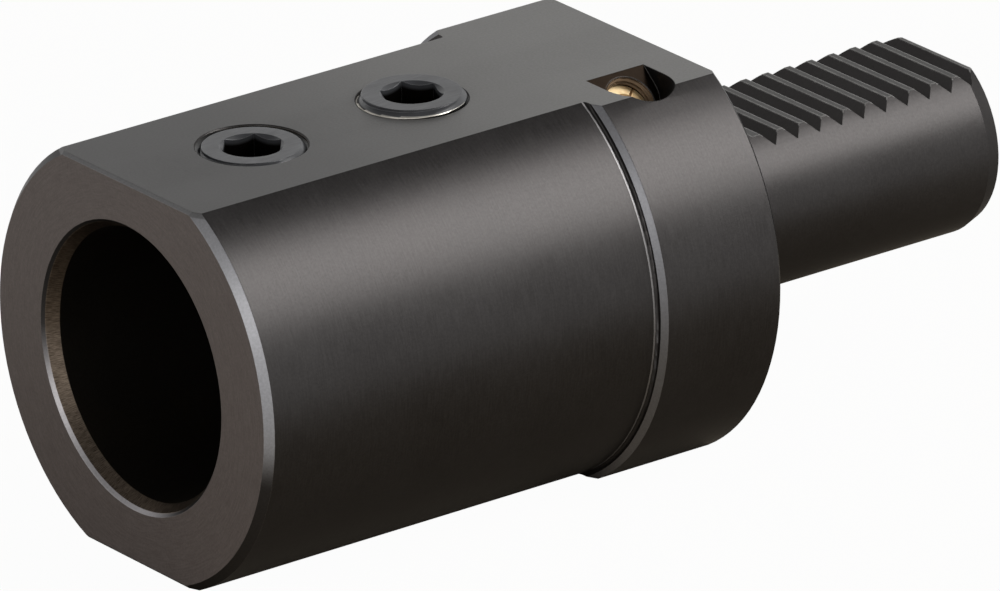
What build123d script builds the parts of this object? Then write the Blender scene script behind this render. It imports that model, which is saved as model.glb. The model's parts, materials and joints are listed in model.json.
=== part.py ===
from build123d import *
import math
import os

os.makedirs("parts", exist_ok=True)

# Frame: origin at the centre of the flange's contact face, on the shank axis.
# +X runs along the axis towards the mouth of the tool bore, +Z up through the clamp screws.
# Lengths are in millimetres, angles in degrees.

# Shank
shank_diameter = 30.0
shank_length = 55.0
shank_end_chamfer_depth = 0.8
shank_end_chamfer_length = 2.4

# Clamping teeth on the top of the shank
tooth_pitch = 4.0
tooth_count = 10
tooth_depth = 1.5
tooth_crest_height = 11.75
tooth_datum_distance = 29.7
teeth_before_datum = 3
runout_land = 1.5

# Flange
flange_diameter = 68.0
flange_thickness = 21.1
flange_front_chamfer = 0.8
flange_rear_chamfer = 0.5
contact_relief_diameter = 33.0
contact_relief_depth = 0.4

# Head with its top and bottom flats
head_diameter = 65.0
overall_head_length = 89.0
head_front_chamfer = 1.1
head_root_radius = 0.4
top_flat_height = 28.0
bottom_flat_height = 29.5
flat_front_bevel = 0.45

# Tool bore, open to the front
tool_bore_diameter = 40.0
tool_bore_floor = 24.0
bore_lead_in_diameter = 42.0
bore_lead_in_angle = 30.0
bore_edge_chamfer = 0.5
bore_floor_chamfer = 1.0

# Coolant bore through the shank, closed at the rear by a threaded plug on a seal ring
shank_bore_diameter = 14.5
plug_thread_diameter = 16.0
plug_length = 10.0
plug_sink = 1.0
plug_chamfer = 0.8
plug_key = 8.0
plug_socket_depth = 6.0
plug_hole_chamfer = 0.6
plug_seal_thickness = 1.4
plug_seal_bore = 11.0

# Seal ring in its groove on the shank, behind the flange
seal_groove_distance = 5.5
seal_groove_width = 2.4
seal_groove_depth = 1.4

# Clamp screws in the top flat, each with a pad below it that bears on the tool
screw_thread_diameter = 16.0
front_screw_distance = 21.85
screw_spacing = 28.0
front_screw_rise = 0.0
rear_screw_rise = 1.0
clamp_stack_length = 7.9
screw_top_chamfer = 0.9
screw_tip_chamfer = 0.6
screw_hole_chamfer = 0.15
screw_key = 8.0
screw_socket_depth = 4.3
front_key_angle = 50.0
rear_key_angle = 12.0
pad_diameter = 13.0
pad_crown_thickness = 1.3
pad_spigot_diameter = 5.0
pad_spigot_length = 0.7

# Nozzle pocket: a flat milled at an angle to the top flat, at the near corner of the flange
pocket_angle = 40.0
pocket_floor_height = 28.0
pocket_width = 10.2
pocket_centre_x = 11.05
pocket_length = 8.7

# Ball nozzle in the pocket: threaded ring, ball and seat
nozzle_slope_distance = 4.65
nozzle_thread_diameter = 7.5
nozzle_hole_chamfer = 0.1
nozzle_ring_sink = 1.7
nozzle_ring_chamfer = 0.3
nozzle_ring_rim = 0.35
nozzle_lip_diameter = 3.8
ring_slot_width = 1.2
ring_slot_depth = 0.7
ring_slot_angle = 15.0
ball_diameter = 5.2
ball_depth = 4.2
spray_bore_diameter = 1.6
seat_top_depth = 5.0
seat_thickness = 1.4
seat_bore_diameter = 3.2

# Coolant channels in the flange
channel_diameter = 4.0
channel_spacing = 1.5
port_diameter = 7.0
port_depth = 5.0
port_chamfer = 0.3

# Clearances
thread_clearance = 0.05
seal_clearance = 0.05
ball_clearance = 0.05
spigot_clearance = 0.05

# Radii and places worked out from the driving dimensions
shank_radius = shank_diameter / 2
flange_radius = flange_diameter / 2
head_radius = head_diameter / 2
bore_radius = tool_bore_diameter / 2
lead_in_radius = bore_lead_in_diameter / 2
shank_bore_radius = shank_bore_diameter / 2
plug_hole_radius = plug_thread_diameter / 2
screw_hole_radius = screw_thread_diameter / 2
nozzle_hole_radius = nozzle_thread_diameter / 2
ball_radius = ball_diameter / 2
socket_radius = ball_radius + ball_clearance
front_screw_x = overall_head_length - front_screw_distance
rear_screw_x = front_screw_x - screw_spacing
plug_outer_x = plug_sink - shank_length
plug_inner_x = plug_outer_x + plug_length
plug_hole_floor_x = plug_inner_x + plug_seal_thickness + 2 * seal_clearance

# The pocket's floor is tilted about X, and its own Y axis runs down the slope.
tilt = math.radians(pocket_angle)
pocket_floor = Plane(
    origin=(0, pocket_floor_height * math.sin(tilt), pocket_floor_height * math.cos(tilt)),
    x_dir=(1, 0, 0),
    z_dir=(0, math.sin(tilt), math.cos(tilt)),
)
# Slope distances are measured from the line where the floor meets the top flat.
slope_start = (pocket_floor_height * math.cos(tilt) - top_flat_height) / math.sin(tilt)
pocket_round_centre = slope_start + pocket_length - pocket_width / 2
nozzle_slope = slope_start + nozzle_slope_distance
nozzle_mouth = Plane(
    origin=pocket_floor.from_local_coords((pocket_centre_x, nozzle_slope, 0)),
    x_dir=(1, 0, 0),
    z_dir=pocket_floor.z_dir,
)
# A plane through the nozzle's axis, on which its turned pieces are drawn, heights upwards
nozzle_section = Plane(origin=nozzle_mouth.origin, x_dir=(1, 0, 0), z_dir=-nozzle_mouth.y_dir)
nozzle_axis = Axis(nozzle_mouth.origin, nozzle_mouth.z_dir)
seat_floor_depth = seat_top_depth + seat_thickness + seal_clearance
feed_depth = seat_floor_depth + channel_spacing
feed_start = pocket_floor.from_local_coords((0, nozzle_slope, -feed_depth))

# Holder body: shank, flange and head turned from one piece of steel
with BuildPart() as holder_body:
    with BuildSketch(Plane.XZ):
        with BuildLine():
            Polyline(
                (-shank_length, 0),
                (-shank_length, shank_radius - shank_end_chamfer_depth),
                (shank_end_chamfer_length - shank_length, shank_radius),
                (contact_relief_depth, shank_radius),
                (contact_relief_depth, contact_relief_diameter / 2),
                (0, contact_relief_diameter / 2),
                (0, flange_radius - flange_rear_chamfer),
                (flange_rear_chamfer, flange_radius),
                (flange_thickness - flange_front_chamfer, flange_radius),
                (flange_thickness, flange_radius - flange_front_chamfer),
                (flange_thickness, head_radius),
                (overall_head_length - head_front_chamfer, head_radius),
                (overall_head_length, head_radius - head_front_chamfer),
                (overall_head_length, 0),
                close=True,
            )
        make_face()
        head_root = vertices().sort_by_distance((flange_thickness, head_radius))[0]
        fillet(head_root, radius=head_root_radius)
    revolve(axis=Axis.X)

    # Flats across the head and the flange
    split(bisect_by=Plane.XY.offset(top_flat_height), keep=Keep.BOTTOM)
    split(bisect_by=Plane.XY.offset(-bottom_flat_height), keep=Keep.TOP)
    flats = faces().filter_by(Axis.Z).sort_by(Axis.Z)
    front_edges = [flat.edges().sort_by(Axis.X)[-1] for flat in (flats[0], flats[-1])]
    chamfer(front_edges, length=flat_front_bevel)

    # Clamping teeth: a flat along the shank, notched across, with a ramp at its inner end
    first_root = tooth_datum_distance - tooth_depth / 2 - teeth_before_datum * tooth_pitch
    runout = first_root - tooth_depth - runout_land
    tooth_outline = [
        (shank_radius - tooth_crest_height - runout, shank_radius),
        (-runout, tooth_crest_height),
    ]
    for tooth in range(tooth_count):
        root = first_root + tooth * tooth_pitch
        tooth_outline += [
            (tooth_depth - root, tooth_crest_height),
            (-root, tooth_crest_height - tooth_depth),
            (-tooth_depth - root, tooth_crest_height),
        ]
    tooth_outline += [
        (-shank_length, tooth_crest_height),
        (-shank_length, shank_radius),
    ]
    with BuildSketch(Plane.XZ):
        with BuildLine():
            Polyline(*tooth_outline, close=True)
        make_face()
    extrude(amount=shank_radius, both=True, mode=Mode.SUBTRACT)

    # Seal groove round the shank
    with BuildSketch(Plane.XZ):
        with Locations((-seal_groove_distance, shank_radius - seal_groove_depth)):
            Rectangle(
                seal_groove_width,
                2 * seal_groove_depth,
                align=(Align.CENTER, Align.MIN),
            )
    revolve(axis=Axis.X, mode=Mode.SUBTRACT)

    # Tool bore with its lead-in cone, and the coolant bore through the shank
    lead_in_length = (lead_in_radius - bore_radius) / math.tan(math.radians(bore_lead_in_angle))
    lead_in_x = overall_head_length - bore_edge_chamfer
    with BuildSketch(Plane.XZ):
        with BuildLine():
            Polyline(
                (overall_head_length, 0),
                (overall_head_length, lead_in_radius + bore_edge_chamfer),
                (lead_in_x, lead_in_radius),
                (lead_in_x - lead_in_length, bore_radius),
                (tool_bore_floor + bore_floor_chamfer, bore_radius),
                (tool_bore_floor, bore_radius - bore_floor_chamfer),
                (tool_bore_floor, shank_bore_radius),
                (plug_hole_floor_x, shank_bore_radius),
                (plug_hole_floor_x, plug_hole_radius),
                (plug_hole_chamfer - shank_length, plug_hole_radius),
                (-shank_length, plug_hole_radius + plug_hole_chamfer),
                (-shank_length, 0),
                close=True,
            )
        make_face()
    revolve(axis=Axis.X, mode=Mode.SUBTRACT)

    # Threaded holes for the clamp screws
    with Locations((front_screw_x, 0, top_flat_height), (rear_screw_x, 0, top_flat_height)):
        CounterSinkHole(
            radius=screw_hole_radius,
            counter_sink_radius=screw_hole_radius + screw_hole_chamfer,
            depth=top_flat_height,
            counter_sink_angle=90,
        )

    # Nozzle pocket: straight sides down the slope and a round lower end
    with BuildSketch(pocket_floor):
        with Locations((pocket_centre_x, pocket_round_centre)):
            Circle(pocket_width / 2)
            Rectangle(pocket_width, pocket_length, align=(Align.CENTER, Align.MAX))
    extrude(amount=flange_radius, mode=Mode.SUBTRACT)

    # Nozzle hole, and the drilling below it that reaches the shank's coolant bore
    with Locations(nozzle_mouth):
        CounterSinkHole(
            radius=nozzle_hole_radius,
            counter_sink_radius=nozzle_hole_radius + nozzle_hole_chamfer,
            depth=seat_floor_depth,
            counter_sink_angle=90,
        )
        Hole(radius=channel_diameter / 2, depth=pocket_floor_height - shank_bore_radius / 2)

    # Coolant port in the contact face and its feed to the nozzle drilling
    with Locations(Plane(origin=feed_start, x_dir=(0, 1, 0), z_dir=(-1, 0, 0))):
        CounterSinkHole(
            radius=port_diameter / 2,
            counter_sink_radius=port_diameter / 2 + port_chamfer,
            depth=port_depth,
            counter_sink_angle=90,
        )
        Hole(radius=channel_diameter / 2, depth=pocket_centre_x)

holder_body.part.label = "holder_body"
export_step(holder_body.part, "parts/holder_body.step")

# Clamp screws and pads: name, place along the axis, height above the flat, turn of the socket
clamp_positions = [
    ("front", front_screw_x, front_screw_rise, front_key_angle),
    ("rear", rear_screw_x, rear_screw_rise, rear_key_angle),
]
for clamp_name, clamp_x, clamp_rise, key_angle in clamp_positions:
    screw_top = top_flat_height + clamp_rise
    pad_crown = screw_top - clamp_stack_length
    pad_top = pad_crown + pad_crown_thickness
    screw_bottom = pad_top + spigot_clearance

    # Set screw with a hexagon socket above and a hole for the pad's spigot below
    with BuildPart() as clamp_screw:
        with BuildSketch(Plane.XY.offset(screw_bottom)):
            with Locations((clamp_x, 0)):
                Circle(screw_hole_radius - thread_clearance)
        extrude(amount=screw_top - screw_bottom)
        chamfer(edges().group_by(Axis.Z)[-1], length=screw_top_chamfer)
        chamfer(edges().group_by(Axis.Z)[0], length=screw_tip_chamfer)
        with BuildSketch(Plane.XY.offset(screw_top)):
            with Locations((clamp_x, 0)):
                RegularPolygon(
                    radius=screw_key / 2,
                    side_count=6,
                    major_radius=False,
                    rotation=key_angle,
                )
        extrude(amount=-screw_socket_depth, mode=Mode.SUBTRACT)
        with BuildSketch(Plane.XY.offset(screw_bottom)):
            with Locations((clamp_x, 0)):
                Circle(pad_spigot_diameter / 2 + spigot_clearance)
        extrude(amount=pad_spigot_length + spigot_clearance, mode=Mode.SUBTRACT)
    clamp_screw.part.label = f"{clamp_name}_clamp_screw"
    export_step(clamp_screw.part, f"parts/{clamp_name}_clamp_screw.step")

    # Pad whose hollow underside has the tool's radius
    with BuildPart() as clamp_pad:
        with BuildSketch(Plane.XY.offset(pad_top)):
            with Locations((clamp_x, 0)):
                Circle(pad_diameter / 2)
        extrude(amount=-pad_diameter / 2)
        with BuildSketch(Plane.YZ.offset(clamp_x)):
            with Locations((0, pad_crown - bore_radius)):
                Circle(bore_radius)
        extrude(amount=pad_diameter, both=True, mode=Mode.SUBTRACT)
        with BuildSketch(Plane.XY.offset(pad_top)):
            with Locations((clamp_x, 0)):
                Circle(pad_spigot_diameter / 2)
        extrude(amount=pad_spigot_length)
    clamp_pad.part.label = f"{clamp_name}_clamp_pad"
    export_step(clamp_pad.part, f"parts/{clamp_name}_clamp_pad.step")

# Threaded brass ring that holds the ball, dished round the ball, with two slots for a key
lip_radius = nozzle_lip_diameter / 2
lip_height = math.sqrt(socket_radius**2 - lip_radius**2) - ball_depth
ring_radius = nozzle_hole_radius - thread_clearance
with BuildPart() as nozzle_ring:
    with BuildSketch(nozzle_section):
        with BuildLine():
            Polyline(
                (socket_radius, -ball_depth),
                (ring_radius, -ball_depth),
                (ring_radius, -nozzle_ring_sink - nozzle_ring_chamfer),
                (ring_radius - nozzle_ring_chamfer, -nozzle_ring_sink),
                (ring_radius - nozzle_ring_chamfer - nozzle_ring_rim, -nozzle_ring_sink),
                (lip_radius, lip_height),
            )
            RadiusArc((lip_radius, lip_height), (socket_radius, -ball_depth), socket_radius)
        make_face()
    revolve(axis=nozzle_axis)
    with BuildSketch(nozzle_mouth.offset(-nozzle_ring_sink)):
        Rectangle(nozzle_thread_diameter, ring_slot_width, rotation=ring_slot_angle)
    extrude(amount=-ring_slot_depth, mode=Mode.SUBTRACT)
nozzle_ring.part.label = "nozzle_ring"
export_step(nozzle_ring.part, "parts/nozzle_ring.step")

# Ball with the spray bore through it
with BuildPart() as nozzle_ball:
    with Locations(nozzle_mouth.offset(-ball_depth)):
        Sphere(ball_radius)
        Cylinder(spray_bore_diameter / 2, ball_diameter, mode=Mode.SUBTRACT)
nozzle_ball.part.label = "nozzle_ball"
export_step(nozzle_ball.part, "parts/nozzle_ball.step")

# Seat ring below the ball, hollowed to the ball's radius
with BuildPart() as nozzle_seat:
    with BuildSketch(nozzle_mouth.offset(-seat_top_depth)):
        Circle(nozzle_hole_radius - seal_clearance)
        Circle(seat_bore_diameter / 2, mode=Mode.SUBTRACT)
    extrude(amount=-seat_thickness)
    with Locations(nozzle_mouth.offset(-ball_depth)):
        Sphere(socket_radius, mode=Mode.SUBTRACT)
nozzle_seat.part.label = "nozzle_seat"
export_step(nozzle_seat.part, "parts/nozzle_seat.step")

# Rubber ring in the shank's seal groove, pressed flush with the shank as in the turret's bore
seal_section_radius = (seal_groove_depth - seal_clearance) / 2
with BuildPart() as shank_seal:
    with BuildSketch(Plane.XZ):
        with Locations((-seal_groove_distance, shank_radius - seal_section_radius)):
            Circle(seal_section_radius)
    revolve(axis=Axis.X)
shank_seal.part.label = "shank_seal"
export_step(shank_seal.part, "parts/shank_seal.step")

# Threaded plug in the rear end of the shank, with a hexagon socket facing out
with BuildPart() as shank_end_plug:
    with BuildSketch(Plane.YZ.offset(plug_outer_x)):
        Circle(plug_hole_radius - thread_clearance)
    extrude(amount=plug_length)
    chamfer(edges().group_by(Axis.X)[0] + edges().group_by(Axis.X)[-1], length=plug_chamfer)
    with BuildSketch(Plane.YZ.offset(plug_outer_x)):
        RegularPolygon(radius=plug_key / 2, side_count=6, major_radius=False)
    extrude(amount=plug_socket_depth, mode=Mode.SUBTRACT)
shank_end_plug.part.label = "shank_end_plug"
export_step(shank_end_plug.part, "parts/shank_end_plug.step")

# Flat seal ring between the plug and its shoulder
with BuildPart() as plug_seal:
    with BuildSketch(Plane.YZ.offset(plug_inner_x + seal_clearance)):
        Circle(plug_hole_radius - seal_clearance)
        Circle(plug_seal_bore / 2, mode=Mode.SUBTRACT)
    extrude(amount=plug_seal_thickness)
plug_seal.part.label = "plug_seal"
export_step(plug_seal.part, "parts/plug_seal.step")
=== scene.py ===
import json
import math
import bpy
import numpy as np
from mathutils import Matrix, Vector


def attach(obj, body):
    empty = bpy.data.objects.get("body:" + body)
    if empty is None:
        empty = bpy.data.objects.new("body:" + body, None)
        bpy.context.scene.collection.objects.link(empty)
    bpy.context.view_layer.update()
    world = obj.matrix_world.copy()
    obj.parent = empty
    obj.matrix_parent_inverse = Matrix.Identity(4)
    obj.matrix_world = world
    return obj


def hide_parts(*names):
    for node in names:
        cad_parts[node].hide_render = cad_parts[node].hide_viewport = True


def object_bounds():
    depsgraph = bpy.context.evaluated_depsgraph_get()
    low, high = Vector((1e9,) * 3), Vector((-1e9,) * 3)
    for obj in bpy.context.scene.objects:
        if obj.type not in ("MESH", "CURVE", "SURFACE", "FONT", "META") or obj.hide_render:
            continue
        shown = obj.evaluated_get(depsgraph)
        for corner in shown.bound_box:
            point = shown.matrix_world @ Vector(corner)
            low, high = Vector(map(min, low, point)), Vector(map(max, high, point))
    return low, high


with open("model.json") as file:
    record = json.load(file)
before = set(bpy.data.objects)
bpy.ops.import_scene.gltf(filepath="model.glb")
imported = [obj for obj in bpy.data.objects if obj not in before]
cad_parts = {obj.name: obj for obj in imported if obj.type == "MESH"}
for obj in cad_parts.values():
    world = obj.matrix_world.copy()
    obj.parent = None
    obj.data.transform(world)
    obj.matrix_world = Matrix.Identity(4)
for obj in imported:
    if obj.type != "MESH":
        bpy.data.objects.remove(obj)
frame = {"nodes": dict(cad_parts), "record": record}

cadLow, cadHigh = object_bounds()
mm = 0.001
nodes = frame["nodes"]
scene = bpy.context.scene
print("frame loaded:", len(nodes), "nodes")


# Node tools: a value that is a socket is linked, any other is set on the input
def put(tree, socket, value):
    if isinstance(value, bpy.types.NodeSocket):
        tree.links.new(value, socket)
    else:
        socket.default_value = value


def putAll(tree, sockets, values):
    for key, value in values.items():
        put(tree, sockets[key], value)


def addNode(tree, kind, inputs=None, **properties):
    node = tree.nodes.new(kind)
    for name, value in properties.items():
        setattr(node, name, value)
    putAll(tree, node.inputs, inputs or {})
    return node


def calc(tree, operation, *values, clamp=False):
    inputs = dict(enumerate(values))
    node = addNode(tree, "ShaderNodeMath", inputs, operation=operation, use_clamp=clamp)
    return node.outputs[0]


def vectorCalc(tree, operation, *values):
    inputs = dict(enumerate(values))
    return addNode(tree, "ShaderNodeVectorMath", inputs, operation=operation).outputs


def separate(tree, vector):
    return addNode(tree, "ShaderNodeSeparateXYZ", {0: vector}).outputs


def combine(tree, *values):
    return addNode(tree, "ShaderNodeCombineXYZ", dict(enumerate(values))).outputs[0]


def coordinatesOf(tree):
    return addNode(tree, "ShaderNodeTexCoord").outputs


def noise(tree, place, scale, detail, roughness=0.5):
    inputs = {"Vector": place, "Scale": scale, "Detail": detail, "Roughness": roughness}
    return addNode(tree, "ShaderNodeTexNoise", inputs).outputs["Fac"]


def rise(tree, value, low, high):  # 0 at low, 1 at high, smooth between
    inputs = {"Value": value, "From Min": low, "From Max": high}
    node = addNode(tree, "ShaderNodeMapRange", inputs, interpolation_type="SMOOTHSTEP")
    return node.outputs["Result"]


def within(tree, value, low, high, soft):  # 1 between low and high, with soft ends
    fromLow = rise(tree, value, low - soft, low + soft)
    toHigh = rise(tree, value, high + soft, high - soft)
    return calc(tree, "MULTIPLY", fromLow, toHigh)


def both(tree, first, *rest):
    for mask in rest:
        first = calc(tree, "MULTIPLY", first, mask)
    return first


def blendColour(tree, factor, first, second, kind="MIX"):
    inputs = {0: factor, 6: first, 7: second}
    return addNode(tree, "ShaderNodeMix", inputs, data_type="RGBA", blend_type=kind).outputs[2]


def blendValue(tree, factor, first, second):
    inputs = {0: factor, 2: first, 3: second}
    return addNode(tree, "ShaderNodeMix", inputs, data_type="FLOAT").outputs[0]


def newGroup(name, inputs, outputs):
    tree = bpy.data.node_groups.new(name, "ShaderNodeTree")
    for label, start in inputs.items():
        socket = tree.interface.new_socket(label, in_out="INPUT", socket_type="NodeSocketFloat")
        socket.default_value = start
    for label, kind in outputs.items():
        tree.interface.new_socket(label, in_out="OUTPUT", socket_type="NodeSocket" + kind)
    given = tree.nodes.new("NodeGroupInput").outputs
    return tree, given, tree.nodes.new("NodeGroupOutput").inputs


def useGroup(tree, group, inputs=None):
    return addNode(tree, "ShaderNodeGroup", inputs, node_tree=group).outputs


# A normal counts as square to a direction between these two cosines
squareRange = (0.97, 0.99)
# The noise keeps mostly between these two values
noiseRange = (0.3, 0.7)

# Distance along the shank's axis, distance from it, angle round it from the near side upwards,
# and whether the surface is a turned one: its normal then points away from the axis or along it
latheGroup, given, result = newGroup(
    "latheCoordinates",
    {},
    {"Along": "Float", "Radius": "Float", "Angle": "Float", "Turned": "Float"},
)
tree = latheGroup
coordinates = coordinatesOf(tree)
position = separate(tree, coordinates["Object"])
flat = combine(tree, 0.0, position[1], position[2])
outward = vectorCalc(tree, "NORMALIZE", flat)["Vector"]
radial = vectorCalc(tree, "DOT_PRODUCT", outward, coordinates["Normal"])["Value"]
radial = calc(tree, "ABSOLUTE", radial)
lengthwise = calc(tree, "ABSOLUTE", separate(tree, coordinates["Normal"])[0])
square = calc(tree, "MAXIMUM", radial, lengthwise)
putAll(tree, result, {
    "Along": position[0],
    "Radius": vectorCalc(tree, "LENGTH", flat)["Value"],
    "Angle": calc(tree, "ARCTAN2", position[2], position[1]),
    "Turned": rise(tree, square, *squareRange),
})

# Tool marks: thin lines that follow one coordinate and break up slowly along another, with a share
# of coarser lines among them
marksShape = {"coarseLines": 0.13, "coarseShare": 0.15, "coarseOffset": 7.0}
marksGroup, given, result = newGroup(
    "toolMarks",
    {"Across": 0.0, "Lengthwise": 0.0, "Lines": 6000.0, "Breaks": 3.0},
    {"Tone": "Float", "Height": "Float"},
)
tree = marksGroup
across = calc(tree, "MULTIPLY", given["Across"], given["Lines"])
lengthwise = calc(tree, "MULTIPLY", given["Lengthwise"], given["Breaks"])
fine = noise(tree, combine(tree, across, lengthwise), scale=1.0, detail=3.0, roughness=0.6)
coarseAcross = calc(tree, "MULTIPLY", across, marksShape["coarseLines"])
coarsePlace = combine(tree, coarseAcross, lengthwise, marksShape["coarseOffset"])
coarse = noise(tree, coarsePlace, scale=1.0, detail=2.0)
tone = blendValue(tree, marksShape["coarseShare"], fine, coarse)
putAll(tree, result, {"Tone": rise(tree, tone, *noiseRange), "Height": tone})

# Cloudy tone of the finish, from slow blotches to a fine grain
cloudShape = {"size": 10 * mm, "grainScale": 40.0}
cloudGroup, given, result = newGroup(
    "finishClouds", {"Size": cloudShape["size"]}, {"Blotch": "Float", "Grain": "Float"}
)
tree = cloudGroup
place = coordinatesOf(tree)["Object"]
scale = calc(tree, "DIVIDE", 1.0, given["Size"])
grainScale = calc(tree, "MULTIPLY", scale, cloudShape["grainScale"])
blotch = noise(tree, place, scale, detail=4.0, roughness=0.55)
grain = noise(tree, place, grainScale, detail=2.0)
putAll(tree, result, {"Blotch": rise(tree, blotch, *noiseRange), "Grain": grain})

# Worn edges: where the rounded normal leaves the face's own normal, on edges that stand out
wearShape = {"width": 0.2 * mm, "start": 0.01, "full": 0.12, "unevenSize": 4 * mm, "least": 0.55}
wearGroup, given, result = newGroup(
    "edgeWear",
    {"Width": wearShape["width"], "Start": wearShape["start"], "Full": wearShape["full"]},
    {"Mask": "Float", "Normal": "Vector"},
)
tree = wearGroup
rounded = addNode(tree, "ShaderNodeBevel", {"Radius": given["Width"]}, samples=6).outputs[0]
own = addNode(tree, "ShaderNodeNewGeometry").outputs["Normal"]
agree = vectorCalc(tree, "DOT_PRODUCT", rounded, own)["Value"]
leaning = rise(tree, calc(tree, "SUBTRACT", 1.0, agree), given["Start"], given["Full"])
uneven = useGroup(tree, cloudGroup, {"Size": wearShape["unevenSize"]})["Blotch"]
share = blendValue(tree, uneven, wearShape["least"], 1.0)
putAll(tree, result, {"Mask": both(tree, leaning, share), "Normal": rounded})
print("shader groups made")


def marksOn(tree, across, lengthwise, lines, breaks):
    inputs = {"Across": across, "Lengthwise": lengthwise, "Lines": lines, "Breaks": breaks}
    return useGroup(tree, marksGroup, inputs)


def cloudsOn(tree, size):
    return useGroup(tree, cloudGroup, {"Size": size})


def wearOn(tree, width, start, full):
    return useGroup(tree, wearGroup, {"Width": width, "Start": start, "Full": full})


def bumpOn(tree, height, normal, strength, distance):
    inputs = {"Strength": strength, "Distance": distance, "Height": height, "Normal": normal}
    return addNode(tree, "ShaderNodeBump", inputs).outputs[0]


def newMaterial(name):
    material = bpy.data.materials.new(name)
    material.use_nodes = True
    tree = material.node_tree
    tree.nodes.clear()
    shader = tree.nodes.new("ShaderNodeBsdfPrincipled")
    output = tree.nodes.new("ShaderNodeOutputMaterial")
    tree.links.new(shader.outputs[0], output.inputs[0])
    return material, tree, shader.inputs


# Blackened steel of the holder body, with its own look on each machined surface, painted light
# along the top flat and painted highlights on the head chamfer, the head's root and the bore's edge
bodyLook = {
    "oxide": (0.0400, 0.0374, 0.0366, 1.0),
    "oxideLight": (0.0455, 0.0428, 0.0420, 1.0),
    "streak": (0.0620, 0.0585, 0.0575, 1.0),
    "frontFace": (0.1180, 0.0990, 0.0920, 1.0),
    "faceStreak": (0.1450, 0.1240, 0.1170, 1.0),
    # Top flat: painted light, darker at the front and lighter towards the rear
    "topFlatFrontPaintedShade": (0.1080, 0.1060, 0.1040, 1.0),
    "topFlatRearPaintedLight": (0.2120, 0.2080, 0.2010, 1.0),
    "toothLand": (0.1150, 0.1120, 0.1090, 1.0),
    "toothEdge": (0.6500, 0.6400, 0.6200, 1.0),
    "pocketFloor": (0.0200, 0.0140, 0.0100, 1.0),
    "boreWall": (0.0800, 0.0700, 0.0580, 1.0),
    "leadIn": (0.0420, 0.0310, 0.0230, 1.0),
    "leadInStreak": (0.1900, 0.1500, 0.1150, 1.0),
    # Painted highlight on the bore's front edge
    "boreEdgePaintedHighlight": (0.3400, 0.3250, 0.3300, 1.0),
    # Head chamfer: its lighter bare finish, painted only on the lit upper side, so partly a painted
    # highlight
    "headChamferFinishAndHighlight": (0.2700, 0.2680, 0.2780, 1.0),
    "flangeChamfer": (0.1850, 0.1840, 0.1920, 1.0),
    # Painted highlight: a bright line at the head's root, standing in for light off the fillet
    "rootPaintedHighlight": (0.3200, 0.3100, 0.3100, 1.0),
    "bevel": (0.1500, 0.1480, 0.1480, 1.0),
    "wornEdge": (0.3000, 0.2900, 0.2800, 1.0),
    "grainDark": (0.80, 0.80, 0.80, 1.0),
    "grainLight": (1.20, 1.20, 1.20, 1.0),
    "edgeTint": (0.60, 0.60, 0.60, 1.0),
    # Span along the axis of the top flat's painted light, from front to rear
    "topFlatPaintedLightFade": (80 * mm, 5 * mm),
    "streakShare": 0.4,
    "headLines": 4200.0,
    "shankLines": 9000.0,
    "lineBreaks": 9.0,
    "coneLines": 260.0,
    "coneBreaks": 900.0,
    "cloudSize": 14 * mm,
    "roughness": 0.33,
    "shankRoughness": 0.36,
    "brightRoughness": 0.42,
    "markRoughness": 0.05,
    "blotchRoughness": 0.03,
    "oxideMetal": 0.95,
    "faceMetal": 0.05,
    "topFlatPlain": 0.45,
    "refraction": 1.2,
    "grainHeight": 0.5,
    "bump": 0.25,
    "bumpDistance": 0.010 * mm,
}
bodyWear = {
    "plain": {"width": 0.16 * mm, "start": 0.012, "full": 0.2, "share": 0.55},
    "teeth": {"width": 0.34 * mm, "start": 0.002, "full": 0.012, "share": 0.75},
}
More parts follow.
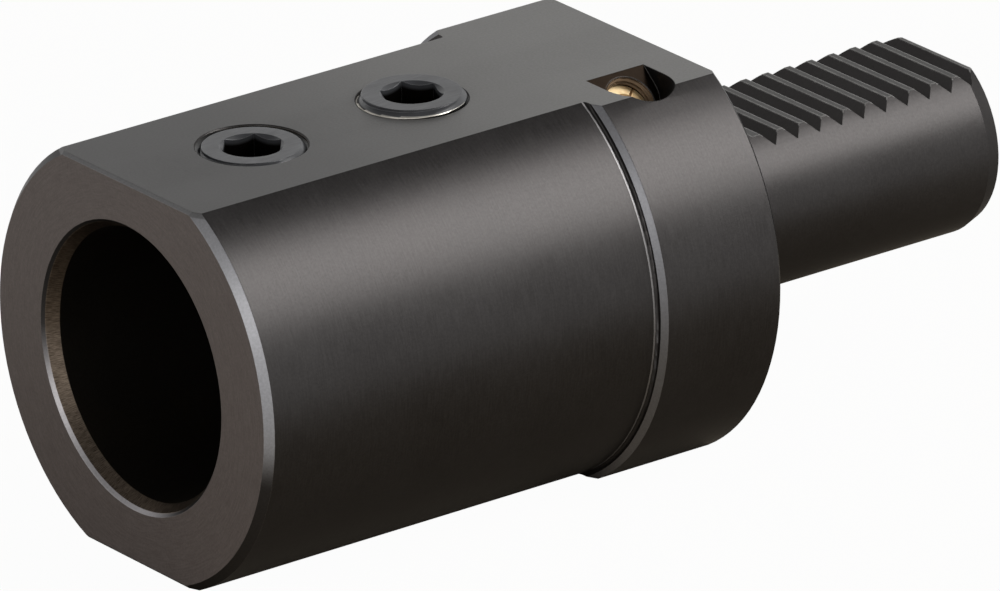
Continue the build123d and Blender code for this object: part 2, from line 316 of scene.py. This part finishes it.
# Where the body's surfaces lie. Each entry names a measure and gives where the mask starts and
# where it is full, or its low and high limit and how soft both are. Along the axis, away from it
# and above it in metres, round it in radians; facing the mouth or the top as a cosine
slanted = ("facesMouth", 0.45, 0.88, 0.04)
upright = ("facesUp", *squareRange)
headEdge = ("along", 87.8 * mm, 87.9 * mm)
toothed = ("along", -13.0 * mm, -13.5 * mm)
bodyMasks = {
    "shank": [("along", 0.1 * mm, -0.1 * mm)],
    "teeth": [toothed, ("level", 11.35 * mm, 11.55 * mm)],
    "toothLand": [toothed, ("level", 11.55 * mm, 11.65 * mm), upright],
    "topFlat": [upright, ("level", 27.7 * mm, 27.9 * mm)],
    "frontFace": [("along", 88.9 * mm, 88.97 * mm), ("facesMouth", 0.9, 0.97)],
    "boreWall": [("radius", 20.1 * mm, 20.02 * mm), ("along", 23.5 * mm, 86.8 * mm, 0.1 * mm)],
    "leadIn": [("radius", 21.1 * mm, 21.02 * mm), ("along", 86.7 * mm, 86.8 * mm)],
    "pocketFloor": [
        ("facesUp", 0.70, 0.83, 0.02),
        ("facesMouth", -0.1, 0.1, 0.05),
        ("along", 5 * mm, 16.5 * mm, 0.2 * mm),
        ("radius", 33.9 * mm, 33.8 * mm),
    ],
    # Head chamfer on its upper near side only, where the light falls: painted highlight over the
    # bare finish
    "headChamferFinishAndHighlight": [
        slanted,
        headEdge,
        ("radius", 31.2 * mm, 31.4 * mm),
        ("angle", -0.16, 1.12, 0.12),
    ],
    "flangeChamfer": [
        slanted,
        ("along", 20.25 * mm, 21.1 * mm, 0.02 * mm),
        ("radius", 32.9 * mm, 33.1 * mm),
    ],
    # Painted highlight line at the head's root, kept off its lower side
    "rootPaintedHighlight": [
        ("along", 21.5 * mm, 21.78 * mm, 0.02 * mm),
        ("radius", 32.35 * mm, 32.45 * mm),
        ("angle", -1.2, -0.9),
    ],
    # Painted highlight on one sector of the bore's front edge
    "boreEdgePaintedHighlight": [
        slanted,
        ("radius", 20.98 * mm, 21.8 * mm, 0.03 * mm),
        ("angle", -2.9, -1.3, 0.3),
        ("along", 88.35 * mm, 88.45 * mm),
    ],
    "bevel": [
        slanted,
        headEdge,
        ("facesUp", 0.45, 0.88, 0.04),
        ("level", 27.3 * mm, 27.5 * mm),
    ],
}


def maskOf(tree, measures, entries):
    parts = []
    for measure, *limits in entries:
        limited = within if len(limits) == 3 else rise
        parts.append(limited(tree, measures[measure], *limits))
    return both(tree, *parts)


blackenedSteel, tree, shader = newMaterial("blackenedSteel")
coordinates = coordinatesOf(tree)
lathe = useGroup(tree, latheGroup)
facing = separate(tree, coordinates["Normal"])
along, radius, angle = lathe["Along"], lathe["Radius"], lathe["Angle"]
measures = {
    "along": along,
    "radius": radius,
    "angle": angle,
    "level": separate(tree, coordinates["Object"])[2],
    "facesMouth": facing[0],
    "facesUp": facing[2],
}
masks = {name: maskOf(tree, measures, entries) for name, entries in bodyMasks.items()}
lines = blendValue(tree, masks["shank"], bodyLook["headLines"], bodyLook["shankLines"])
acrossLathe = calc(tree, "ADD", along, radius)
marks = marksOn(tree, acrossLathe, angle, lines, bodyLook["lineBreaks"])
coneMarks = marksOn(tree, angle, along, bodyLook["coneLines"], bodyLook["coneBreaks"])
clouds = cloudsOn(tree, bodyLook["cloudSize"])
markTone = both(tree, marks["Tone"], lathe["Turned"])
width, start, full, share = [
    blendValue(tree, masks["teeth"], bodyWear["plain"][key], bodyWear["teeth"][key])
    for key in ("width", "start", "full", "share")
]
wear = wearOn(tree, width, start, full)
worn = both(tree, wear["Mask"], share)

# Colours, laid one over the other in this order
# Painted light on the top flat: a colour gradient from a darker front to a lighter rear
topFlatPaintedLightShare = rise(tree, along, *bodyLook["topFlatPaintedLightFade"])
surfaces = {
    "topFlat": blendColour(
        tree, topFlatPaintedLightShare, bodyLook["topFlatFrontPaintedShade"], bodyLook["topFlatRearPaintedLight"]
    ),
    "toothLand": bodyLook["toothLand"],
    "frontFace": blendColour(tree, marks["Tone"], bodyLook["frontFace"], bodyLook["faceStreak"]),
    "boreWall": bodyLook["boreWall"],
    "leadIn": blendColour(tree, coneMarks["Tone"], bodyLook["leadIn"], bodyLook["leadInStreak"]),
    "pocketFloor": bodyLook["pocketFloor"],
}
streakShare = both(tree, markTone, bodyLook["streakShare"])
colour = blendColour(tree, clouds["Blotch"], bodyLook["oxide"], bodyLook["oxideLight"])
colour = blendColour(tree, streakShare, colour, bodyLook["streak"])
for name, surface in surfaces.items():
    colour = blendColour(tree, masks[name], colour, surface)
# Worn edges, chamfers and bevel in their own lighter finish, with painted highlights on the head
# chamfer, the head's root and the bore's edge
bareAndPaintedHighlight = worn
for name in ("headChamferFinishAndHighlight", "flangeChamfer", "rootPaintedHighlight", "boreEdgePaintedHighlight", "bevel"):
    colour = blendColour(tree, masks[name], colour, bodyLook[name])
    bareAndPaintedHighlight = calc(tree, "MAXIMUM", bareAndPaintedHighlight, masks[name])
edgeColour = blendColour(tree, masks["teeth"], bodyLook["wornEdge"], bodyLook["toothEdge"])
colour = blendColour(tree, worn, colour, edgeColour)
grainTone = blendColour(tree, clouds["Grain"], bodyLook["grainDark"], bodyLook["grainLight"])
colour = blendColour(tree, 1.0, colour, grainTone, "MULTIPLY")

roughness = blendValue(tree, masks["shank"], bodyLook["roughness"], bodyLook["shankRoughness"])
roughness = blendValue(tree, bareAndPaintedHighlight, roughness, bodyLook["brightRoughness"])
roughness = calc(tree, "ADD", roughness, both(tree, markTone, bodyLook["markRoughness"]))
cloudChange = calc(tree, "SUBTRACT", clouds["Blotch"], 0.5)
cloudChange = calc(tree, "MULTIPLY", cloudChange, bodyLook["blotchRoughness"])
turnedHeight = both(tree, marks["Height"], lathe["Turned"])
grainHeight = calc(tree, "MULTIPLY", clouds["Grain"], bodyLook["grainHeight"])
height = calc(tree, "ADD", turnedHeight, grainHeight)
height = calc(tree, "ADD", height, both(tree, coneMarks["Height"], masks["leadIn"]))
plainTop = both(tree, masks["topFlat"], bodyLook["topFlatPlain"])
plain = calc(tree, "MAXIMUM", masks["frontFace"], plainTop)
plain = both(tree, plain, calc(tree, "SUBTRACT", 1.0, bareAndPaintedHighlight))
putAll(tree, shader, {
    "Base Color": colour,
    "Metallic": blendValue(tree, plain, bodyLook["oxideMetal"], bodyLook["faceMetal"]),
    "Roughness": calc(tree, "ADD", roughness, cloudChange, clamp=True),
    "IOR": bodyLook["refraction"],
    "Specular Tint": bodyLook["edgeTint"],
    "Normal": bumpOn(tree, height, wear["Normal"], bodyLook["bump"], bodyLook["bumpDistance"]),
})

# Oxide in the cut threads, black, with a painted reflection of the brass in brown on the thread
# beside the brass
threadLook = {
    "black": (0.0100, 0.0095, 0.0090, 1.0),
    "blackLight": (0.0180, 0.0170, 0.0160, 1.0),
    # Painted reflection of the brass, in brown
    "brassReflection": (0.1000, 0.0650, 0.0380, 1.0),
    "brassReflectionLight": (0.1700, 0.1150, 0.0700, 1.0),
    "worn": (0.3200, 0.2600, 0.2000, 1.0),
    "wornShare": 0.5,
    "brassReflectionFrom": (18 * mm, 16 * mm),
    "cloudSize": 3 * mm,
    "edgeWear": (0.1 * mm, 0.02, 0.25),
    "metal": 0.9,
    "roughness": (0.28, 0.42),
    "bump": (0.25, 0.010 * mm),
}
threadSteel, tree, shader = newMaterial("threadSteel")
clouds = cloudsOn(tree, threadLook["cloudSize"])
wear = wearOn(tree, *threadLook["edgeWear"])
# Painted reflection of the brass on the nozzle's thread, by distance along the axis
brassReflectionShare = rise(tree, useGroup(tree, latheGroup)["Along"], *threadLook["brassReflectionFrom"])
black = blendColour(tree, clouds["Blotch"], threadLook["black"], threadLook["blackLight"])
brassReflection = blendColour(tree, clouds["Blotch"], threadLook["brassReflection"], threadLook["brassReflectionLight"])
colour = blendColour(tree, brassReflectionShare, black, brassReflection)
worn = both(tree, wear["Mask"], threadLook["wornShare"])
putAll(tree, shader, {
    "Base Color": blendColour(tree, worn, colour, threadLook["worn"]),
    "Metallic": threadLook["metal"],
    "Roughness": blendValue(tree, clouds["Grain"], *threadLook["roughness"]),
    "Normal": bumpOn(tree, clouds["Grain"], wear["Normal"], *threadLook["bump"]),
})

# Darker, oiled steel of the clamp screws and the plug, with painted shade on the thread and in the
# socket and a painted glint round the rim below the top chamfer
screwLook = {
    "steel": (0.0260, 0.0265, 0.0290, 1.0),
    "light": (0.0450, 0.0460, 0.0500, 1.0),
    "worn": (0.3400, 0.3400, 0.3500, 1.0),
    # Painted shade on the thread and in the socket: near black, fully metallic so it reflects
    # little
    "paintedShadeColour": (0.0045, 0.0036, 0.0030, 1.0),
    # Painted glint round the rim below the top chamfer
    "paintedRimGlint": (0.6400, 0.6100, 0.5500, 1.0),
    "wornShare": 0.75,
    "wornMetal": 0.8,
    "cloudSize": 4 * mm,
    "edgeWear": (0.12 * mm, 0.02, 0.22),
    "lines": 4000.0,
    "breaks": 300.0,
    "roughness": (0.30, 0.42),
    "darkRoughness": 0.6,
    "refraction": 1.5,
    "bump": (0.3, 0.010 * mm),
}
screwSteel, tree, shader = newMaterial("oiledScrewSteel")
clouds = cloudsOn(tree, screwLook["cloudSize"])
wear = wearOn(tree, *screwLook["edgeWear"])
place = separate(tree, coordinatesOf(tree)["Object"])
across = calc(tree, "ADD", place[1], place[2])
marks = marksOn(tree, across, place[0], screwLook["lines"], screwLook["breaks"])
onPoints = {"attribute_type": "GEOMETRY"}
# Painted shade and painted glint, read from attributes on the screw's points
paintedShade = addNode(tree, "ShaderNodeAttribute", attribute_name="paintedShade", **onPoints).outputs["Fac"]
paintedRimGlint = addNode(tree, "ShaderNodeAttribute", attribute_name="paintedRimGlint", **onPoints).outputs["Fac"]
colour = blendColour(tree, clouds["Blotch"], screwLook["steel"], screwLook["light"])
colour = blendColour(tree, paintedShade, colour, screwLook["paintedShadeColour"])
worn = both(tree, wear["Mask"], screwLook["wornShare"])
colour = blendColour(tree, worn, colour, screwLook["worn"])
metallic = calc(tree, "MAXIMUM", paintedRimGlint, paintedShade)
wornMetal = both(tree, wear["Mask"], screwLook["wornMetal"])
roughness = blendValue(tree, marks["Tone"], *screwLook["roughness"])
height = calc(tree, "ADD", marks["Height"], clouds["Grain"])
putAll(tree, shader, {
    "Base Color": blendColour(tree, paintedRimGlint, colour, screwLook["paintedRimGlint"]),
    "Metallic": calc(tree, "MAXIMUM", metallic, wornMetal),
    "Roughness": blendValue(tree, paintedShade, roughness, screwLook["darkRoughness"]),
    "IOR": screwLook["refraction"],
    "Normal": bumpOn(tree, height, wear["Normal"], *screwLook["bump"]),
})

# Turned brass of the nozzle and the clamp pads
brassLook = {
    "light": (1.000, 0.830, 0.500, 1.0),
    "deep": (0.880, 0.600, 0.300, 1.0),
    "worn": (1.0, 0.82, 0.45, 1.0),
    "wornShare": 0.6,
    "cloudSize": 2 * mm,
    "edgeWear": (0.08 * mm, 0.02, 0.25),
    "lines": 9000.0,
    "breaks": 500.0,
    "metal": 0.45,
    "roughness": (0.36, 0.50),
    "bump": (0.25, 0.008 * mm),
}
brass, tree, shader = newMaterial("turnedBrass")
clouds = cloudsOn(tree, brassLook["cloudSize"])
wear = wearOn(tree, *brassLook["edgeWear"])
place = separate(tree, coordinatesOf(tree)["Object"])
across = calc(tree, "ADD", place[1], place[2])
marks = marksOn(tree, across, place[0], brassLook["lines"], brassLook["breaks"])
colour = blendColour(tree, clouds["Blotch"], brassLook["light"], brassLook["deep"])
worn = both(tree, wear["Mask"], brassLook["wornShare"])
putAll(tree, shader, {
    "Base Color": blendColour(tree, worn, colour, brassLook["worn"]),
    "Metallic": brassLook["metal"],
    "Roughness": blendValue(tree, marks["Tone"], *brassLook["roughness"]),
    "Normal": bumpOn(tree, marks["Height"], wear["Normal"], *brassLook["bump"]),
})

# White plastic of the ball's seat and black rubber of the seal rings
softLooks = {
    "seatPlastic": {
        "colours": ((0.78, 0.77, 0.72, 1.0), (0.66, 0.64, 0.58, 1.0)),
        "roughness": (0.4, 0.55),
        "bump": (0.2, 0.01 * mm),
    },
    "sealRubber": {
        "colours": ((0.012, 0.012, 0.012, 1.0), (0.028, 0.027, 0.026, 1.0)),
        "roughness": (0.55, 0.75),
        "bump": (0.4, 0.01 * mm),
    },
}
softShape = {"cloudSize": 3 * mm, "edgeWidth": 0.1 * mm}
softFinishes = {}
for name, look in softLooks.items():
    softFinishes[name], tree, shader = newMaterial(name)
    clouds = cloudsOn(tree, softShape["cloudSize"])
    rounded = useGroup(tree, wearGroup, {"Width": softShape["edgeWidth"]})["Normal"]
    putAll(tree, shader, {
        "Base Color": blendColour(tree, clouds["Blotch"], *look["colours"]),
        "Roughness": blendValue(tree, clouds["Grain"], *look["roughness"]),
        "Normal": bumpOn(tree, clouds["Grain"], rounded, *look["bump"]),
    })

finishes = {
    "blackened_steel": blackenedSteel,
    "screw_steel": screwSteel,
    "brass": brass,
    "seat_plastic": softFinishes["seatPlastic"],
    "seal_rubber": softFinishes["sealRubber"],
}
for entry in frame["record"]["subparts"]:
    mesh = nodes[entry["node"]].data
    mesh.materials.clear()
    mesh.materials.append(finishes[entry["material_slot"]])
print("materials made:", len(finishes))

sharpDegrees = 28  # an edge that turns by more than this stays sharp


# A closed surface from a grid of rings: row after row of points, with a pole at each end or joined
# end to end
def ringSurface(name, points, poles, finish, body):
    rows, columns = points.shape[:2]
    index = np.arange(rows * columns).reshape(rows, columns)
    nextColumn = np.roll(index, -1, axis=1)
    corners = [index, nextColumn, np.roll(nextColumn, -1, axis=0), np.roll(index, -1, axis=0)]
    if poles:
        corners = [corner[:-1] for corner in corners]
    faces = np.stack(corners, axis=-1).reshape(-1, 4).tolist()
    vertices = points.reshape(-1, 3)
    if poles:
        vertices = np.vstack([vertices, points[0].mean(axis=0), points[-1].mean(axis=0)])
        bottom, top = rows * columns, rows * columns + 1
        faces += [(bottom, b, a) for a, b in zip(index[0].tolist(), nextColumn[0].tolist())]
        faces += [(top, a, b) for a, b in zip(index[-1].tolist(), nextColumn[-1].tolist())]
    mesh = bpy.data.meshes.new(name)
    mesh.from_pydata((vertices * mm).tolist(), [], faces)
    mesh.materials.append(finish)
    mesh.shade_smooth()
    mesh.set_sharp_from_angle(angle=math.radians(sharpDegrees))
    piece = bpy.data.objects.new(name, mesh)
    scene.collection.objects.link(piece)
    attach(piece, body)
    return piece


# Points by radius, angle and height round an axis of their own, in the part's frame
def placed(radii, angles, levels, origin, axes):
    local = (radii * np.cos(angles), radii * np.sin(angles), levels)
    moves = [part[..., None] * np.array(axis) for part, axis in zip(local, axes)]
    return np.array(origin) + sum(moves)


# Rows of radii and levels from strips of a profile, each spread over all the columns
def joinedRows(strips, turns):
    rows = [np.broadcast_arrays(radius, level, turns)[:2] for radius, level in strips]
    return [np.vstack(part) for part in zip(*rows)]


def turnsRound(columns):
    return (np.arange(columns) / columns)[None, :]


def asColumn(values):
    return np.array(values)[:, None]


# How deep a 60 degree thread lies below its crest: 0 over the flat crest, 1 over the flat root,
# a straight flank between, by the height above a right-hand helix measured in pitches
def threadDepth(height, turn, pitch, ease):
    halfCrest, halfRoot = 1 / 16, 1 / 8
    fromCrest = np.abs((height / pitch - turn + 0.5) % 1.0 - 0.5)
    return np.clip((fromCrest - halfCrest - ease) / (0.5 - halfCrest - halfRoot), 0.0, 1.0)


# Distance from the centre to the side of a hexagon, by angle
def hexagonReach(turns, acrossFlats, degrees):
    sixth = math.pi / 3
    fromCorner = (turns * 2 * math.pi - math.radians(degrees)) % sixth
    return acrossFlats / 2 / np.cos(fromCorner - sixth / 2)


# Clamp screws, in mm: the profile runs from the tip's centre out along the thread, over the top
# chamfer, in to the socket and down it; each radius is cut back by the cones at both ends
screwShape = {
    "radius": 7.95,
    "pitch": 1.5,
    "threadDepth": 0.92,
    "topChamfer": 0.9,
    "tipChamfer": 1.0,
    "tipRadius": 2.55,
    "tipHole": 0.75,
    "key": 8.0,
    "mouthRadius": 4.6,
    "mouthSlope": 0.8,
    "leastDrop": 0.02,
    "socketDepth": 4.3,
    "floorShares": (0.9, 0.6, 0.3),
    "floorDepths": (0.02, 0.5, 1.0),
    "columns": 180,
    "rowsPerPitch": 16,
    "topRows": 4,
    "wallRows": 8,
    # Painted shade lies below the top chamfer's foot, the painted glint round the rim about that
    # foot
    "paintedShadeBelow": 0.05,
    "glintBelow": 0.35,
    "glintAbove": 0.16,
    "glintWidth": 0.16,
}
uprightAxes = ((1, 0, 0), (0, 1, 0), (0, 0, 1))


def clampScrew(side, spot, look):
    bottom, top = spot["bottom"], spot["top"]
    turns = turnsRound(look["columns"]) + spot["key"] / 360
    rows = int((top - bottom) / look["pitch"] * look["rowsPerPitch"])
    heights = np.linspace(bottom, top, rows)[:, None]
    depth = threadDepth(heights + spot["helix"], turns, look["pitch"], 0.0)
    thread = look["radius"] - look["threadDepth"] * depth
    topCone = look["radius"] - look["topChamfer"] + (top - heights)
    tipCone = look["radius"] - look["tipChamfer"] + (heights - bottom)
    outside = np.minimum(np.minimum(thread, topCone), tipCone)
    edge = outside[-1:]
    hexagon = hexagonReach(turns, look["key"], spot["key"])
    mouth = np.maximum(hexagon, look["mouthRadius"])
    drop = np.maximum(mouth - hexagon, look["leastDrop"]) * look["mouthSlope"]
    coneFoot = top - drop
    socketFloor = top - look["socketDepth"]
    tipRadii, tipRise = asColumn((0.3, 1.0, 1.0)), asColumn((1.0, 1.0, 0.0))
    topSteps = np.linspace(0.15, 1.0, look["topRows"])[:, None]
    coneSteps = asColumn((0.5, 1.0))
    wallSteps = np.linspace(0.1, 1.0, look["wallRows"])[:, None]
    floorShares, floorDepths = asColumn(look["floorShares"]), asColumn(look["floorDepths"])
    strips = [
        (look["tipRadius"] * tipRadii, bottom + look["tipHole"] * tipRise),
        (outside, heights),
        (edge + (mouth - edge) * topSteps, top),
        (mouth + (hexagon - mouth) * coneSteps, top - drop * coneSteps),
        (hexagon, coneFoot + (socketFloor - coneFoot) * wallSteps),
        (hexagon * floorShares, socketFloor - floorDepths),
    ]
    radii, levels = joinedRows(strips, turns)
    points = placed(radii, turns * 2 * math.pi, levels, (spot["x"], 0, 0), uprightAxes)
    name, body, node = side + "ScrewThreaded", side + "_screw", side + "_clamp_screw"
    piece = ringSurface(name, points, True, screwSteel, body)
    foot = top - look["topChamfer"]
    # Painted shade on the thread and in the socket; painted glint round the rim below the top
    # chamfer
    paintedShadeRows = levels < foot - look["paintedShadeBelow"]  # the thread, and the socket's wall and floor
    onPaintedGlint = (levels > foot - look["glintBelow"]) & (levels < foot + look["glintAbove"])
    onPaintedGlint &= radii > look["radius"] - look["glintWidth"]
    for label, mask in (("paintedShade", paintedShadeRows), ("paintedRimGlint", onPaintedGlint)):
        shade = piece.data.attributes.new(label, "FLOAT", "POINT")
        shade.data.foreach_set("value", np.append(mask.ravel(), [False, False]).astype(float))
    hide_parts(node)


# Thread cut in a hole, in mm: a sleeve whose outer wall lies against the hole and whose inner wall
# carries the same helix as the screw, a little further out, and fades out below the hole's mouth
sleeveShape = {
    "pitch": 1.5,
    "wall": 7.995,
    "inset": 0.03,
    "crestDepth": 0.80,
    "clear": 0.03,
    "runout": 0.5,
    "low": 20.4,
    "high": 27.82,
    "columns": 180,
    "rowsPerPitch": 16,
}


def holeThread(name, look, origin, axes, helixZero):
    low, high = look["low"], look["high"]
    turns = turnsRound(look["columns"])
    rows = int((high - low) / look["pitch"] * look["rowsPerPitch"])
    heights = np.linspace(low, high, rows)[:, None]
    depth = threadDepth(heights + helixZero, turns, look["pitch"], look["clear"])
    fade = np.clip((high - heights) / look["runout"], 0.0, 1.0)
    inside = look["wall"] - look["inset"] - look["crestDepth"] * depth * fade
    strips = [(look["wall"], asColumn((low, high))), (inside[::-1], heights[::-1])]
    radii, levels = joinedRows(strips, turns)
    points = placed(radii, turns * 2 * math.pi, levels, origin, axes)
    ringSurface(name, points, False, threadSteel, "holder")


clampPlaces = {
    "front": {"x": 67.15, "bottom": 21.45, "top": 28.0, "key": 50.0, "helix": 0.0},
    "rear": {"x": 39.15, "bottom": 22.45, "top": 29.0, "key": 12.0, "helix": 0.62},
}
for side, spot in clampPlaces.items():
    clampScrew(side, spot, screwShape)
    holeThread(side + "HoleThread", sleeveShape, (spot["x"], 0, 0), uprightAxes, spot["helix"])

# Thread above the nozzle's ring, in a hole whose axis leans 40 degrees from upright
nozzleThread = {
    "pitch": 0.75,
    "wall": 3.745,
    "inset": 0.03,
    "crestDepth": 0.38,
    "clear": 0.03,
    "runout": 0.2,
    "low": -1.68,
    "high": -0.12,
    "columns": 96,
    "rowsPerPitch": 16,
}
nozzleMouth = (11.05, 13.7533, 25.011)
lean = math.radians(40.0)
leanSine, leanCosine = math.sin(lean), math.cos(lean)
nozzleAxes = ((1, 0, 0), (0, leanCosine, -leanSine), (0, leanSine, leanCosine))
holeThread("nozzleHoleThread", nozzleThread, nozzleMouth, nozzleAxes, 0.0)

# Ring of the nozzle, in mm: a turned profile, given by its radii and its heights from the hole's
# mouth, with a slot right across its face. The columns lie along the slot's two edges, whatever
# the radius, and the slot's columns are pressed down to its floor
ringShape = {
    "cornerRadii": (3.68, 3.68, 3.36, 3.1, 2.05, 1.95),
    "cornerLevels": (-4.2, -2.02, -1.7, -1.7, -1.7, -1.78),
    "socketRadius": 2.65,
    "ballLevel": -4.2,
    "lip": 1.9,
    "bowlRows": 8,
    "slotWidth": 0.30,
    "slotFloor": -2.15,
    "slotDegrees": 41.0,
    "columns": 45,
    "slotColumns": (-0.10, -0.085, -0.04, 0.0, 0.04, 0.085, 0.10),
    "slotShare": 0.10,
    "floorShare": 0.09,
    "clearShare": 0.14,
}


def nozzleRing(name, node, body, look, origin, axes):
    socket, slotShare = look["socketRadius"], look["slotShare"]
    bowl = np.linspace(math.asin(look["lip"] / socket), math.pi / 2, look["bowlRows"])
    radius = np.append(look["cornerRadii"], socket * np.sin(bowl))[:, None]
    level = np.append(look["cornerLevels"], look["ballLevel"] + socket * np.cos(bowl))[:, None]
    share = np.linspace(-1.0, 1.0, look["columns"], endpoint=False)
    share = np.append(share[np.abs(share) > look["clearShare"]], look["slotColumns"])
    share = np.unique(share)[None, :]
    fromSlot = np.abs(share)
    edge = np.arcsin(look["slotWidth"] / 2 / radius)
    outside = edge + (fromSlot - slotShare) / (1 - slotShare) * (math.pi / 2 - edge)
    inside = share / slotShare * edge
    spread = np.where(fromSlot <= slotShare, inside, np.sign(share) * outside)
    angles = np.hstack([spread, spread + math.pi]) + math.radians(look["slotDegrees"])
    inSlot = np.tile(fromSlot < look["floorShare"], (1, 2))
    levels = level + np.where(inSlot, np.minimum(look["slotFloor"] - level, 0.0), 0.0)
    points = placed(radius, angles, levels, origin, axes)
    piece = ringSurface(name, points, False, brass, body)
    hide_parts(node)


nozzleRing("nozzleRingSlotted", "nozzle_ring", "holder", ringShape, nozzleMouth, nozzleAxes)
print("clamp screws and threads made")

# Camera at the photograph's view
photoView = {
    "place": (1.280146, 1.685050, 0.838573),
    "turn": (68.1099, 1.0599, 142.8800),
    "lens": 574.212,
    "sensor": 36.0,
    "clip": (0.05, 60.0),
}
cameraData = bpy.data.cameras.new("photoCamera")
cameraData.lens = photoView["lens"]
cameraData.sensor_width = photoView["sensor"]
cameraData.clip_start, cameraData.clip_end = photoView["clip"]
camera = bpy.data.objects.new("photoCamera", cameraData)
camera.location = photoView["place"]
camera.rotation_euler = [math.radians(part) for part in photoView["turn"]]
scene.collection.objects.link(camera)
scene.camera = camera

# Studio: pale floor under the bottom flat, white surroundings that are dim overhead, one large soft
# lamp and a small fill, all centred on the middle of the part
studio = {
    "middle": 16 * mm,
    "floorHalf": 9.0,
    "floorGap": 0.05 * mm,
    "floorColour": (0.47, 0.41, 0.33, 1.0),
    "white": (1.0, 1.0, 1.0, 1.0),
    "whiteFrom": (0.07, 0.22),
    "nearWhite": 0.97,
    "overheadFrom": (0.42, 0.72),
    "overhead": 0.22,
    "ambient": 0.65,
}
floorHeight = cadLow[2] - studio["floorGap"]
half = studio["floorHalf"]
floorCorners = [(-half, -half), (half, -half), (half, half), (-half, half)]
floorMesh = bpy.data.meshes.new("studioFloor")
floorMesh.from_pydata([(x, y, floorHeight) for x, y in floorCorners], [], [(0, 1, 2, 3)])
floor = bpy.data.objects.new("studioFloor", floorMesh)
scene.collection.objects.link(floor)
floorPaint = bpy.data.materials.new("paleFloor")
floorPaint.use_nodes = True
tree = floorPaint.node_tree
tree.nodes.clear()
ground = separate(tree, coordinatesOf(tree)["Object"])
fromMiddle = combine(tree, calc(tree, "SUBTRACT", ground[0], studio["middle"]), ground[1])
distance = vectorCalc(tree, "LENGTH", fromMiddle)["Value"]
far = rise(tree, distance, *studio["whiteFrom"])
rays = addNode(tree, "ShaderNodeLightPath").outputs
seen = calc(tree, "ADD", rays["Is Camera Ray"], rays["Is Glossy Ray"])
seen = calc(tree, "ADD", seen, rays["Is Transmission Ray"], clamp=True)
seenNear = calc(tree, "MULTIPLY", rays["Is Camera Ray"], studio["nearWhite"])
whiteShare = calc(tree, "MAXIMUM", seenNear, calc(tree, "MULTIPLY", seen, far))
dull = addNode(tree, "ShaderNodeBsdfDiffuse", {"Color": studio["floorColour"]}).outputs[0]
glow = {"Color": studio["white"], "Strength": 1.0}
white = addNode(tree, "ShaderNodeEmission", glow).outputs[0]
mixed = addNode(tree, "ShaderNodeMixShader", {0: whiteShare, 1: dull, 2: white}).outputs[0]
tree.links.new(mixed, tree.nodes.new("ShaderNodeOutputMaterial").inputs[0])
floorMesh.materials.append(floorPaint)

world = bpy.data.worlds.new("studioSurround")
scene.world = world
world.use_nodes = True
tree = world.node_tree
tree.nodes.clear()
direction = separate(tree, coordinatesOf(tree)["Generated"])
upward = rise(tree, direction[2], *studio["overheadFrom"])
rays = addNode(tree, "ShaderNodeLightPath").outputs
mirrored = calc(tree, "ADD", rays["Is Glossy Ray"], rays["Is Transmission Ray"], clamp=True)
strength = blendValue(tree, upward, 1.0, studio["overhead"])
ambient = calc(tree, "MULTIPLY", strength, studio["ambient"])
strength = blendValue(tree, mirrored, ambient, strength)
strength = blendValue(tree, rays["Is Camera Ray"], strength, 1.0)
glow = {"Color": studio["white"], "Strength": strength}
backdrop = addNode(tree, "ShaderNodeBackground", glow).outputs[0]
tree.links.new(backdrop, tree.nodes.new("ShaderNodeOutputWorld").inputs[0])

lamps = {
    "keySoftbox": {
        "azimuth": 139.0,
        "elevation": 36.5,
        "away": 1.10,
        "size": (0.62, 0.55),
        "power": 7.8,
    },
    "frontFill": {
        "azimuth": 28.0,
        "elevation": 20.0,
        "away": 1.40,
        "size": (0.45, 0.45),
        "power": 2.0,
    },
}
for name, lamp in lamps.items():
    light = bpy.data.lights.new(name, "AREA")
    light.shape = "RECTANGLE"
    light.size, light.size_y = lamp["size"]
    light.energy = lamp["power"]
    spot = bpy.data.objects.new(name, light)
    azimuth, elevation = math.radians(lamp["azimuth"]), math.radians(lamp["elevation"])
    spot.location = [
        studio["middle"] + lamp["away"] * math.cos(elevation) * math.cos(azimuth),
        lamp["away"] * math.cos(elevation) * math.sin(azimuth),
        lamp["away"] * math.sin(elevation),
    ]
    spot.rotation_euler = (0.0, math.pi / 2 - elevation, azimuth)
    scene.collection.objects.link(spot)
scene.view_settings.view_transform = "Standard"
print("studio made")
